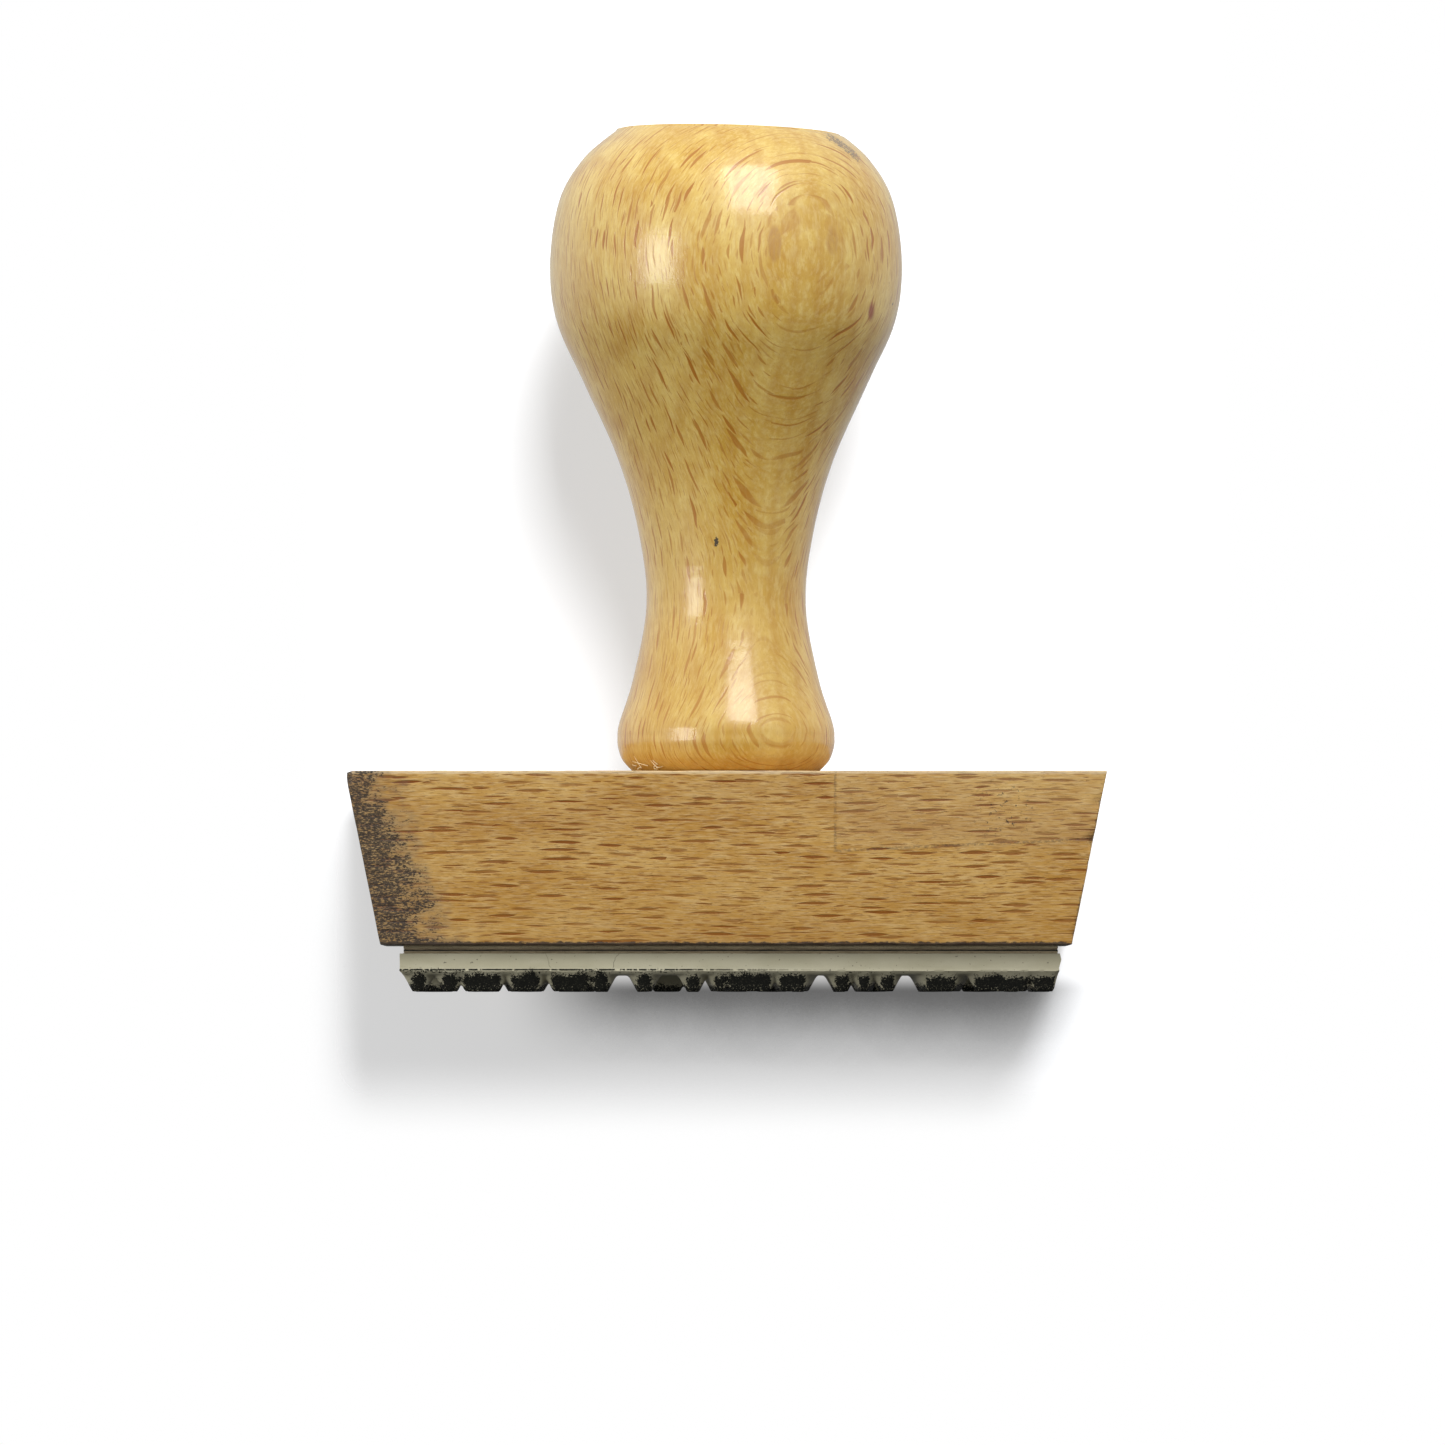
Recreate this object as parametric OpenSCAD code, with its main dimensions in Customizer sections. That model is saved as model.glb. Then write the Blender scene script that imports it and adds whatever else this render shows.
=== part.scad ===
// Wooden hand stamp: a turned beech handle on a tapered beech mount, with a moulded rubber
// die stuck under the mount on a cushion of two plies. Millimetres.
// The origin is the middle of the printing face. +Z is up along the handle's axis, +X runs
// along the mount and the front faces -Y.

/* [Handle] */
// Height of the turned handle
handle_h = 64.4; // [56:0.1:72]
// Diameter of the head at its widest
head_d = 35.3; // [30:0.1:38]
// Diameter across the flat top of the head
top_d = 22.2; // [16:0.1:26]
// Diameter of the neck at its thinnest
neck_d = 16; // [13:0.1:18]
// Diameter of the foot at its widest
foot_d = 21.8; // [19:0.1:23]
// Radius of the turned edge round the flat top
rim_r = 0.2; // [0.1:0.1:0.5]

/* [Mount block] */
// Length of the block along its top
block_top_l = 75.4; // [72:0.1:90]
// Width of the block's underside, front to back
block_bottom_w = 19.8; // [18.4:0.1:24]
// Height of the block
block_h = 17.2; // [15:0.1:20]
// Lean of the block's four sides from upright, in degrees
side_lean = 11.2; // [8:0.1:13]

/* [Rubber die] */
// Length of the die
die_l = 65.7; // [65.7:0.1:67]
// Width of the die, front to back
die_w = 17.6; // [17.4:0.1:18.2]
// Thickness of the floor that carries the relief
floor_t = 2.1; // [1.5:0.1:3]
// Height of the relief below its floor
relief_h = 1.65; // [1.2:0.05:2]
// Slope of the relief's shoulders from upright, in degrees
shoulder_lean = 29; // [15:1:32]
// How far the die sits to the right of the mount's middle
die_shift = 0.45; // [0:0.05:0.6]

/* [Cushion] */
// Thickness of each cushion ply
ply_t = 0.35; // [0.3:0.05:0.8]
// Thickness of each adhesive film
film_t = 0.05; // [0.05:0.01:0.1]
// How far the plies stand back from the die's edges
ply_setback = 0.35; // [0.1:0.05:0.6]

/* [Screw] */
// Length of the screw
screw_l = 38; // [34:1:42]
// Diameter over the screw's thread
screw_d = 4; // [3.5:0.1:4.5]
// Thread pitch
pitch = 1.8; // [1.5:0.1:2]

/* [Hidden] */
$fn = 96;
eps = 0.01;

// Levels of the stack, from the printing face up
die_top_z = relief_h + floor_t;
lower_ply_z = die_top_z + film_t;
ply_film_z = lower_ply_z + ply_t;
upper_ply_z = ply_film_z + film_t;
mount_film_z = upper_ply_z + ply_t;
block_z = mount_film_z + film_t;
block_top_z = block_z + block_h;
glue_t = 0.1;
handle_z = block_top_z + glue_t;

// Handle outline: where the foot, neck and head reach their widest or thinnest
foot_r = foot_d / 2;
neck_r = neck_d / 2;
head_r = head_d / 2;
top_r = top_d / 2;
base_r = foot_r - 1.65;
foot_z = handle_h * 0.053;
neck_z = handle_h * 0.261;
head_z = handle_h * 0.794;

// Shares of the way [outwards, upwards] from the neck to the head, and from the head to the top
NECK_TO_HEAD = [[0.08, 0.21], [0.295, 0.425], [0.655, 0.65], [0.93, 0.825]];
HEAD_TO_TOP = [[0.145, 0.465], [0.51, 0.775]];

function mix(a, b, share) = a + (b - a) * share;

handle_knots = concat(
    [
        [base_r, 0],
        [foot_r - 0.55, foot_z * 0.35],
        [foot_r - 0.1, foot_z * 0.7],
        [foot_r, foot_z],
        [foot_r - 0.2, foot_z * 1.47],
        [mix(foot_r, neck_r, 0.55), mix(foot_z, neck_z, 0.45)],
        [neck_r, neck_z]
    ],
    [for (s = NECK_TO_HEAD) [mix(neck_r, head_r, s[0]), mix(neck_z, head_z, s[1])]],
    [[head_r, head_z]],
    [for (s = HEAD_TO_TOP) [mix(head_r, top_r, s[0]), mix(head_z, handle_h, s[1])]],
    [[top_r, handle_h - rim_r]]
);

// Smooth curve through a list of knots, with a number of steps from each knot to the next
function curve_point(a, b, c, d, t) =
    (2 * b + (c - a) * t + (2 * a - 5 * b + 4 * c - d) * t * t
        + (3 * b - a - 3 * c + d) * t * t * t) / 2;
function curve(k, steps) = concat(
    [for (i = [0 : len(k) - 2]) for (s = [0 : steps - 1])
        curve_point(k[max(i - 1, 0)], k[i], k[i + 1], k[min(i + 2, len(k) - 1)], s / steps)],
    [k[len(k) - 1]]
);

// Screw: countersunk, slotted, driven up through the block into the handle
screw_z = block_z + 0.4;
screw_head_r = screw_d;
screw_rim = 0.4;
screw_root_r = screw_d * 0.35;
shank_r = screw_d / 2;
shank_end = 15;
screw_tip = 4;
slot_w = 1;
slot_depth = 1;
// The holes clear the shank, and the bore in the handle is cut to the size of the thread
clearance_r = shank_r + 0.2;
bore_r = shank_r + 0.02;
bore_h = screw_z + screw_l + 2 - handle_z;
rings = floor((screw_l - screw_tip - shank_end) / pitch);

screw_outline = concat(
    [
        [0, 0],
        [screw_head_r, 0],
        [screw_head_r, screw_rim],
        [shank_r, screw_rim + screw_head_r - shank_r],
        [shank_r, shank_end]
    ],
    [for (i = [0 : rings - 1]) for (p = [[screw_root_r, 0.25], [screw_root_r, 0.6], [shank_r, 0.9]])
        [p[0], shank_end + (i + p[1]) * pitch]],
    [[screw_root_r, screw_l - screw_tip], [0, screw_l]]
);

// Die: two rows of small ornaments, each [shape, place along X, width]
mark_d = 5.4;
row_y = 4.85;
corner_r = 0.35;
// The marks run up into the floor, and the die's lower edges are cut a little steeper than them
stud_h = relief_h + 0.5;
edge_z = relief_h + 0.5;
edge_inset = (edge_z + 1) * tan(shoulder_lean - 5);
FRONT_ROW = [
    ["dots", -30.5, 1.3], ["dots", -27.4, 1.3], ["arch", -24.2, 3.4], ["hexagon", -19.9, 3.6],
    ["arch", -15.5, 3.3], ["dots", -12.4, 1.3], ["dots", -8.1, 1.4], ["dots", -3.3, 1.2],
    ["lozenge", -0.6, 1.8], ["arch", 2.4, 3.8], ["hexagon", 6.6, 3.2], ["dots", 11.5, 1.2],
    ["lozenge", 13.7, 1.6], ["dots", 16, 1.2], ["hexagon", 21.3, 4], ["arch", 27.3, 5],
    ["arch", 31.6, 2]
];
BACK_ROW = [
    ["arch", -29.2, 3.8], ["lozenge", -24.3, 3.2], ["wedge", -20, 3.2], ["lozenge", -15, 3.6],
    ["dots", -12.5, 1.2], ["dots", -8.3, 1.2], ["wedge", -5.9, 2.6], ["dots", -3.3, 1.2],
    ["lozenge", 0.6, 3], ["arch", 4.6, 3], ["dots", 7.2, 1.2], ["dots", 11.4, 1.2],
    ["wedge", 14.5, 3.2], ["lozenge", 21, 3.4], ["wedge", 25.4, 3.4], ["dots", 28.6, 1.4],
    ["hexagon", 31.4, 2.2]
];

// Corners of an ornament that reaches a to each side and b to the front and back
function corners(shape, a, b) =
    shape == "lozenge" ? [[-a, 0], [0, -b], [a, 0], [0, b]] :
    shape == "wedge" ? [[-a, -b], [a, -b], [0, b]] :
    shape == "hexagon" ? [[-a, 0], [-a * 0.6, -b], [a * 0.6, -b], [a, 0], [a * 0.6, b], [-a * 0.6, b]] :
    [for (t = [0 : 30 : 180]) [a * cos(t), b * (2 * sin(t) - 1)]];

// A box centred on X and Y that stands on level z
module slab(l, w, z, h) {
    translate([-l / 2, -w / 2, z]) cube([l, w, h]);
}

// An upright prism with a trapezoid for its front: bottom and top lengths, then width
module tapered_bar(bottom_l, top_l, w, h) {
    rotate([90, 0, 0]) translate([0, 0, -w / 2]) linear_extrude(w)
        polygon([[-bottom_l / 2, 0], [bottom_l / 2, 0], [top_l / 2, h], [-top_l / 2, h]]);
}

module handle() {
    color([0.83, 0.64, 0.33]) translate([0, 0, handle_z]) difference() {
        rotate_extrude() polygon(concat(
            [[0, 0]], curve(handle_knots, 6), [[top_r - rim_r, handle_h], [0, handle_h]]
        ));
        translate([0, 0, -eps]) cylinder(h = bore_h + eps, r = bore_r);
    }
}

module handle_glue() {
    color([0.93, 0.9, 0.78]) translate([0, 0, block_top_z]) difference() {
        cylinder(h = glue_t, r = base_r - 0.3);
        translate([0, 0, -eps]) cylinder(h = glue_t + 2 * eps, r = clearance_r + 1);
    }
}

module handle_screw() {
    color([0.68, 0.68, 0.66]) translate([0, 0, screw_z]) difference() {
        rotate_extrude() polygon(screw_outline);
        slab(2 * screw_head_r + 1, slot_w, -1, slot_depth + 1);
    }
}

module mount_block() {
    taper = 2 * block_h * tan(side_lean);
    head_room = screw_z + screw_rim - block_z;
    color([0.78, 0.59, 0.36]) translate([0, 0, block_z]) difference() {
        intersection() {
            tapered_bar(block_top_l - taper, block_top_l, 2 * block_bottom_w, block_h);
            rotate([0, 0, 90])
                tapered_bar(block_bottom_w, block_bottom_w + taper, 2 * block_top_l, block_h);
        }
        translate([0, 0, -eps]) cylinder(h = block_h + 2 * eps, r = clearance_r);
        translate([0, 0, -eps]) cylinder(h = head_room + eps, r = screw_head_r + 0.1);
        translate([0, 0, head_room - eps])
            cylinder(h = screw_head_r + 0.1 - clearance_r, r1 = screw_head_r + 0.1, r2 = clearance_r);
    }
}

// One flat layer between the die and the block
module layer(z, h) {
    translate([die_shift, 0, 0]) slab(die_l - 2 * ply_setback, die_w - 2 * ply_setback, z, h);
}

module mount_adhesive() {
    color([0.35, 0.33, 0.27]) layer(mount_film_z, film_t);
}

module cushion_upper_ply() {
    color([0.6, 0.58, 0.47]) layer(upper_ply_z, ply_t);
}

module ply_adhesive() {
    color([0.35, 0.33, 0.27]) layer(ply_film_z, film_t);
}

module cushion_lower_ply() {
    color([0.56, 0.54, 0.44]) layer(lower_ply_z, ply_t);
}

module die_adhesive() {
    color([0.35, 0.33, 0.27]) layer(die_top_z, film_t);
}

// A tapered stud from the printing face up into the floor
module stud(x, y, r) {
    translate([x, y, 0]) cylinder(h = stud_h, r1 = r, r2 = r + stud_h * tan(shoulder_lean), $fn = 16);
}

// One ornament of the relief, with sloping shoulders all round
module mark(shape, w) {
    a = w / 2 - corner_r;
    b = mark_d / 2 - corner_r;
    if (shape == "dots")
        for (y = [-1, 1]) stud(0, y * (mark_d - w) / 2, w / 2);
    else
        hull() for (c = corners(shape, a, b)) stud(c[0], c[1], corner_r);
}

module mark_row(marks, y) {
    for (m = marks) translate([m[1], y, 0]) mark(m[0], m[2]);
}

// The prism that the die's ends are cut to: its right end leans out and its top right edge curls in
module end_cuts() {
    end_x = die_l / 2;
    curl_z = die_top_z - 0.6;
    rotate([90, 0, 0]) translate([0, 0, -die_w]) linear_extrude(2 * die_w) polygon([
        [-end_x, die_top_z], [-end_x, edge_z], [edge_inset - end_x, -1],
        [end_x - (curl_z + 1) / 4, -1], [end_x, curl_z], [end_x - 0.15, die_top_z]
    ]);
}

// The prism that the die's front and back are cut to
module side_cuts() {
    side_y = die_w / 2;
    rotate([90, 0, 90]) translate([0, 0, -die_l]) linear_extrude(2 * die_l) polygon([
        [-side_y, die_top_z], [-side_y, edge_z], [edge_inset - side_y, -1],
        [side_y - edge_inset, -1], [side_y, edge_z], [side_y, die_top_z]
    ]);
}

module rubber_die() {
    color([0.74, 0.71, 0.6]) intersection() {
        union() {
            slab(die_l + 4, die_w + 2, relief_h, floor_t);
            mark_row(FRONT_ROW, -row_y);
            mark_row(BACK_ROW, row_y);
        }
        translate([die_shift, 0, 0]) end_cuts();
        side_cuts();
    }
}

handle();
handle_glue();
handle_screw();
mount_block();
mount_adhesive();
cushion_upper_ply();
ply_adhesive();
cushion_lower_ply();
die_adhesive();
rubber_die();
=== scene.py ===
"""Looks of a wooden hand stamp: a turned and lacquered handle, a plain beech mount and an inked rubber die.

Lengths are in millimetres until a mesh or light is made, and the frame's own values are in metres.
"""
import math

import bpy
import numpy as np
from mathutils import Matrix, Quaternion, Vector, noise
from mathutils.bvhtree import BVHTree


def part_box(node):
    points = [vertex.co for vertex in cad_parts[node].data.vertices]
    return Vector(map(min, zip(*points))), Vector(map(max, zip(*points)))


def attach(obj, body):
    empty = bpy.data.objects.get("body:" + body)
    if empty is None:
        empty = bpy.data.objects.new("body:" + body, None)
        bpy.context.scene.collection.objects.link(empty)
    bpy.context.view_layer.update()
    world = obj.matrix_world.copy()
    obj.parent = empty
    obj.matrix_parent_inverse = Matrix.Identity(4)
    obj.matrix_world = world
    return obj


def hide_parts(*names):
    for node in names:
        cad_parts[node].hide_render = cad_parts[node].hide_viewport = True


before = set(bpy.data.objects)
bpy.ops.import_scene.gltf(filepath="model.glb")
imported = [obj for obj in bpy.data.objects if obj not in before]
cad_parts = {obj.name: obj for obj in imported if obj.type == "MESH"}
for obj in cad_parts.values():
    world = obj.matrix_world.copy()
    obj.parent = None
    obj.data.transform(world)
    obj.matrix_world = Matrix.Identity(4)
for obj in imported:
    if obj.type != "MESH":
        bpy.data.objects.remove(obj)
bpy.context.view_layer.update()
MM = 0.001


# ---------------------------------------------------------------- reading the frame

def box_of(node):
    """Lowest and highest corner of a CAD node, in millimetres."""
    low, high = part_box(node)
    return np.array(low) / MM, np.array(high) / MM


def points_of(node):
    """A CAD node's vertices, in millimetres."""
    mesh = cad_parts[node].data
    points = np.empty(len(mesh.vertices) * 3)
    mesh.vertices.foreach_get("co", points)
    return points.reshape(-1, 3) / MM


def bottom_of(node):
    """Half the length and half the depth of a CAD node's lowest face, in millimetres."""
    points = points_of(node)
    lowest = np.abs(points[points[:, 2] < points[:, 2].min() + 0.01])
    return lowest[:, 0].max(), lowest[:, 1].max()


def tree_of(node):
    """A search tree over a CAD node's faces, in millimetres."""
    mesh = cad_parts[node].data
    return BVHTree.FromPolygons(points_of(node).tolist(), [tuple(p.vertices) for p in mesh.polygons])


# ---------------------------------------------------------------- making pieces

def smoothstep(value, low, high):
    share = np.clip((value - low) / (high - low), 0, 1)
    return share * share * (3 - 2 * share)


def ripple(x, y, z, size, seed=0):
    """Smooth noise from about -1 to 1 whose features are size millimetres across."""
    return noise.noise(Vector((x / size + seed * 17.3, y / size - seed * 5.1, z / size + seed * 9.7)))


def piece(name, points, faces, material, node, sharp=35):
    """A mesh piece that stands for a CAD node, or rides beside it if node is None."""
    mesh = bpy.data.meshes.new(name)
    mesh.from_pydata((np.asarray(points) * MM).tolist(), [], faces)
    mesh.materials.append(material)
    mesh.validate()
    mesh.shade_smooth()
    mesh.set_sharp_from_angle(angle=math.radians(sharp))
    shape = bpy.data.objects.new(name, mesh)
    bpy.context.scene.collection.objects.link(shape)
    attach(shape, "root")
    if node:
        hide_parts(node)
    return shape


def lathe(rings, segments):
    """Points and faces of a closed turned shape. rings lists (radius, height) or functions of the angle."""
    points, faces = [], []
    for ring in rings:
        for i in range(segments):
            angle = 2 * math.pi * i / segments
            radius, height = ring(angle) if callable(ring) else ring
            points.append((radius * math.cos(angle), radius * math.sin(angle), height))
    for k in range(len(rings) - 1):
        lower, upper = k * segments, (k + 1) * segments
        for i in range(segments):
            j = (i + 1) % segments
            faces.append((lower + i, lower + j, upper + j, upper + i))
    for k, flip in ((0, True), (len(rings) - 1, False)):
        cap = [k * segments + i for i in range(segments)]
        faces.append(tuple(reversed(cap)) if flip else tuple(cap))
    return points, faces


def cuts(half, edge, step):
    """Places along one side of a box, close together on its rounded edges."""
    rounded = [half - edge * s for s in (0, 0.2, 0.45, 0.7, 1)]
    count = max(1, round(2 * (half - edge) / step))
    middle = np.linspace(edge - half, half - edge, count + 1)[1:-1]
    return np.array([-r for r in rounded] + middle.tolist() + rounded[::-1])


def rounded_box(half, edge, step):
    """Points and faces of a box about the origin, with a grid on every face and rounded edges."""
    half, step = np.asarray(half, float), np.broadcast_to(step, 3)
    index, points, faces = {}, [], []

    def corner(place):
        key = tuple(np.round(place, 4))
        if key not in index:
            core = np.clip(place, edge - half, half - edge)
            out = place - core
            index[key] = len(points)
            points.append(core + out / np.linalg.norm(out) * edge)
        return index[key]

    for axis in range(3):
        u, v = (axis + 1) % 3, (axis + 2) % 3
        across, along = cuts(half[u], edge, step[u]), cuts(half[v], edge, step[v])
        for side in (-1, 1):
            grid = np.empty((len(across), len(along)), int)
            for i, a in enumerate(across):
                for j, b in enumerate(along):
                    place = np.empty(3)
                    place[axis], place[u], place[v] = side * half[axis], a, b
                    grid[i, j] = corner(place)
            for i in range(len(across) - 1):
                for j in range(len(along) - 1):
                    face = (grid[i, j], grid[i + 1, j], grid[i + 1, j + 1], grid[i, j + 1])
                    faces.append(tuple(int(n) for n in (face if side > 0 else face[::-1])))
    return np.array(points), faces


def smooth_curve(x, y, steps):
    """More points along a curve through (x, y), by cubic steps between its own points."""
    knots = np.column_stack([x, y])
    padded = np.vstack([knots[0], knots, knots[-1]])
    share = np.arange(steps)[:, None] / steps
    parts = []
    for a, b, c, d in zip(padded, padded[1:], padded[2:], padded[3:]):
        parts.append((2 * b + (c - a) * share + (2 * a - 5 * b + 4 * c - d) * share ** 2
                      + (3 * b - a - 3 * c + d) * share ** 3) / 2)
    return np.vstack(parts + [knots[-1:]])


# ---------------------------------------------------------------- materials

class Shader:
    """A material or a world being made, with short calls for the nodes that it needs."""

    def __init__(self, name, kind=bpy.data.materials):
        self.owner = kind.new(name)
        self.owner.use_nodes = True
        self.tree = self.owner.node_tree
        self.tree.nodes.clear()
        place = self.add("ShaderNodeTexCoord").outputs["Object"]
        self.place = self.vector("SCALE", place, scale=1 / MM)
        self.x, self.y, self.z = self.split(self.place)

    def add(self, kind, inputs=(), **settings):
        node = self.tree.nodes.new(kind)
        for key, value in settings.items():
            setattr(node, key, value)
        for key, value in dict(inputs).items():
            self.feed(node.inputs[key], value)
        return node

    def feed(self, socket, value):
        if isinstance(value, bpy.types.NodeSocket):
            self.tree.links.new(value, socket)
        else:
            socket.default_value = value

    def math(self, operation, *values):
        node = self.add("ShaderNodeMath", operation=operation)
        for socket, value in zip(node.inputs, values):
            self.feed(socket, value)
        return node.outputs[0]

    def vector(self, operation, *values, scale=None):
        node = self.add("ShaderNodeVectorMath", operation=operation)
        for socket, value in zip(node.inputs, values):
            self.feed(socket, value)
        if scale is not None:
            self.feed(node.inputs["Scale"], scale)
        return node.outputs["Value" if operation in ("DOT_PRODUCT", "LENGTH", "DISTANCE") else "Vector"]

    def split(self, vector):
        node = self.add("ShaderNodeSeparateXYZ", {"Vector": vector})
        return node.outputs[0], node.outputs[1], node.outputs[2]

    def normal(self):
        """The way that the surface faces, in the object's own directions."""
        return self.add("ShaderNodeTexCoord").outputs["Normal"]

    def join(self, x, y, z):
        return self.add("ShaderNodeCombineXYZ", {"X": x, "Y": y, "Z": z}).outputs[0]

    def stretch(self, x, y, z, sizes):
        """A place whose steps of one are sizes millimetres long."""
        return self.join(*(self.math("DIVIDE", value, size) for value, size in zip((x, y, z), sizes)))

    def cloud(self, place, size=1.0, detail=2.0, rough=0.5):
        """Noise from 0 to 1, mostly near 0.5, with features of that size."""
        inputs = {"Vector": place, "Scale": 1 / size, "Detail": detail, "Roughness": rough}
        return self.add("ShaderNodeTexNoise", inputs).outputs["Fac"]

    def step(self, value, low, high, start=0.0, end=1.0):
        """A smooth step from start to end, as value goes from low to high."""
        inputs = {"Value": value, "From Min": low, "From Max": high, "To Min": start, "To Max": end}
        return self.add("ShaderNodeMapRange", inputs, interpolation_type="SMOOTHSTEP").outputs["Result"]

    def times(self, *values):
        result = values[0]
        for value in values[1:]:
            result = self.math("MULTIPLY", result, value)
        return result

    def plus(self, *values):
        result = values[0]
        for value in values[1:]:
            result = self.math("ADD", result, value)
        return result

    def most(self, *values):
        result = values[0]
        for value in values[1:]:
            result = self.math("MAXIMUM", result, value)
        return result

    def mix(self, share, first, second):
        """The first colour where share is 0 and the second where it is 1."""
        node = self.add("ShaderNodeMix", data_type="RGBA")
        self.feed(node.inputs[0], share)
        for socket, colour in ((node.inputs[6], first), (node.inputs[7], second)):
            self.feed(socket, colour if isinstance(colour, bpy.types.NodeSocket) else (*colour, 1))
        return node.outputs[2]

    def spot(self, centre, radius, soft=0.4, stretch=(1, 1, 1)):
        """A soft spot of 1 about a place, with its sizes along x, y and z stretched."""
        offset = self.vector("SUBTRACT", self.place, centre)
        offset = self.vector("DIVIDE", offset, stretch)
        return self.step(self.vector("LENGTH", offset), radius, radius * (1 - soft))

    def streak(self, centre, way, length, width):
        """A soft streak of 1 through a place, of that half length and half width."""
        way = Vector(way).normalized()
        offset = self.vector("SUBTRACT", self.place, centre)
        far = self.vector("DOT_PRODUCT", offset, way)
        aside = self.vector("LENGTH", self.vector("SUBTRACT", offset, self.vector("SCALE", way, scale=far)))
        far = self.step(self.math("ABSOLUTE", far), length, length * 0.3)
        return self.times(far, self.step(aside, width, width * 0.2))

    def bump(self, height, depth):
        """A normal for bumps of that depth in millimetres."""
        inputs = {"Height": height, "Strength": 1.0, "Distance": depth * MM}
        return self.add("ShaderNodeBump", inputs).outputs["Normal"]

    def finish(self, **inputs):
        """The surface itself. Keywords are the Principled BSDF's inputs, with _ for spaces."""
        node = self.add("ShaderNodeBsdfPrincipled")
        for key, value in inputs.items():
            socket = node.inputs[key.replace("_", " ").replace("Ior", "IOR")]
            if isinstance(value, tuple) and len(value) == 3 and socket.type == "RGBA":
                value = (*value, 1)
            self.feed(socket, value)
        out = self.add("ShaderNodeOutputMaterial")
        self.tree.links.new(node.outputs[0], out.inputs["Surface"])
        return self.owner


def rays(s, place, cell, thick):
    """Beech's rays: thin pointed sheets, one in each cell.

    place is how far across, out and along, in millimetres.
    """
    across, out, along = place
    spot = s.stretch(across, out, along, cell)
    inputs = {"Vector": spot, "Scale": 1.0, "Randomness": 1.0}
    cells = s.add("ShaderNodeTexVoronoi", inputs, voronoi_dimensions="3D", feature="F1")
    chances = s.split(cells.outputs["Color"])
    off = s.split(s.vector("SUBTRACT", spot, cells.outputs["Position"]))
    reach = s.plus(s.times(chances[0], 0.22), 0.24)
    taper = s.plus(s.math("POWER", s.math("DIVIDE", off[2], reach), 2), s.math("POWER", off[1], 2))
    half = s.times(s.math("SUBTRACT", 1.0, taper), s.plus(s.times(chances[1], 0.55), 0.45), thick)
    inside = s.math("SUBTRACT", half, s.times(s.math("ABSOLUTE", off[0]), cell[0]))
    depth = s.plus(s.times(chances[2], 0.45), 0.55)
    return s.times(s.step(inside, -0.01, thick * 0.28), depth)


def beech(s, across, out, along, thick, ray_step=4.4, sway=1.0):
    """The figure of beech, as masks from 0 to 1.

    across, out and along are unit vectors: square to the rays, away from the pith and with the grain.
    thick is half the thickness of the largest rays and ray_step is their spacing along the grain, in
    millimetres. Rays that lie face on are faint.
    """
    t, r, l = (s.vector("DOT_PRODUCT", s.place, way) for way in (across, out, along))
    drift = s.math("SUBTRACT", s.cloud(s.stretch(t, r, l, (14, 30, 22)), detail=2), 0.5)
    wave = s.math("SUBTRACT", s.cloud(s.stretch(t, r, l, (2, 6, 3)), detail=1), 0.5)
    t = s.plus(t, s.times(drift, 4.0 * sway), s.times(wave, 0.5 * sway))
    ring = s.times(s.plus(r, s.times(drift, 3.0)), 2 * math.pi / 2.6)
    facing = s.vector("DOT_PRODUCT", s.normal(), across)
    faint = s.step(s.math("ABSOLUTE", facing), 0.92, 0.99, 1.0, 0.4)
    return {
        "rays": s.times(rays(s, (t, r, l), (1.0, 22, ray_step), thick), faint),
        "small_rays": s.times(rays(s, (t, r, l), (0.5, 9, 2.1), thick * 0.42), faint),
        "fibre": s.cloud(s.stretch(t, r, l, (0.15, 0.5, 1.7)), detail=3, rough=0.6),
        "pores": s.step(s.cloud(s.stretch(t, r, l, (0.07, 0.09, 0.7)), detail=1), 0.6, 0.72),
        "patch": s.cloud(s.stretch(t, r, l, (4, 5, 9)), detail=3, rough=0.6),
        "sheets": s.cloud(s.stretch(t, r, l, (0.32, 5, 2.6)), detail=2, rough=0.6),
        "fleck": s.cloud(s.stretch(t, r, l, (0.35, 1.2, 0.7)), detail=2, rough=0.6),
        "mottle": s.cloud(s.stretch(t, r, l, (0.7, 1.2, 1.6)), detail=3, rough=0.6),
        "rings": s.math("POWER", s.plus(s.times(s.math("SINE", ring), 0.5), 0.5), 3),
    }


def beech_colour(s, wood, deep, pale, streak, ray):
    """Beech from its figure: a ground from deep to pale with lighter streaks, then marks as dark as ray."""
    colour = s.mix(s.step(wood["patch"], 0.3, 0.7), deep, pale)
    colour = s.mix(s.step(wood["fibre"], 0.4, 0.7, 0.03, 0.46), colour, streak)
    colour = s.mix(s.step(wood["mottle"], 0.4, 0.62, 0.05, 0.15), colour, ray)
    colour = s.mix(s.step(wood["sheets"], 0.46, 0.66, 0.03, 0.13), colour, ray)
    colour = s.mix(s.step(wood["fleck"], 0.46, 0.62, 0.02, 0.10), colour, ray)
    colour = s.mix(s.times(wood["rings"], 0.18), colour, ray)
    colour = s.mix(s.times(wood["pores"], 0.3), colour, ray)
    colour = s.mix(s.times(wood["small_rays"], 0.75), colour, ray)
    return s.mix(wood["rays"], colour, ray)


RAY_TURN = math.radians(30)
RAY_ACROSS = (math.sin(RAY_TURN), -math.cos(RAY_TURN), 0)
RAY_OUT = (math.cos(RAY_TURN), math.sin(RAY_TURN), 0)


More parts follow.
